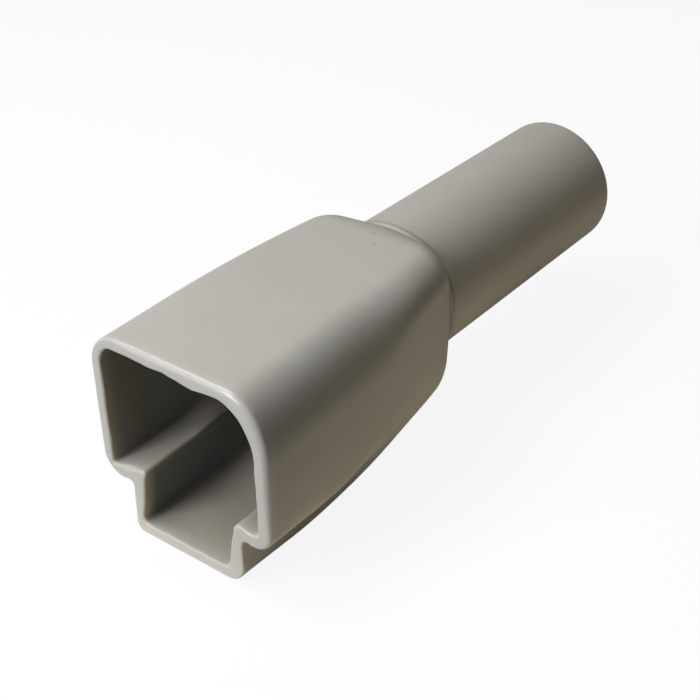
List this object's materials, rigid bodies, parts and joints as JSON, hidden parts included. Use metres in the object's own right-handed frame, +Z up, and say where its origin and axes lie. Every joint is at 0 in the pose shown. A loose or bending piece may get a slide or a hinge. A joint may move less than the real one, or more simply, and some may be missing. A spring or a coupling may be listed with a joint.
{
  "type": "connector boot",
  "caption": "Soft one-piece boot for a cable connector: a stepped box mouth slips over the connector's back and a round tail carries the wires out.",
  "frame": {"origin": "centre of the boot's outline seen from above, on the surface that it lies on", "axes": "+X across the mouth, +Y along the bore from the mouth to the tail's end, +Z up through the roof"},
  "size_m": [0.0252, 0.076, 0.0269],
  "materials": {
    "boot": "satin"
  },
  "bodies": {
    "root": {"boot": "boot"}
  },
  "joints": []
}
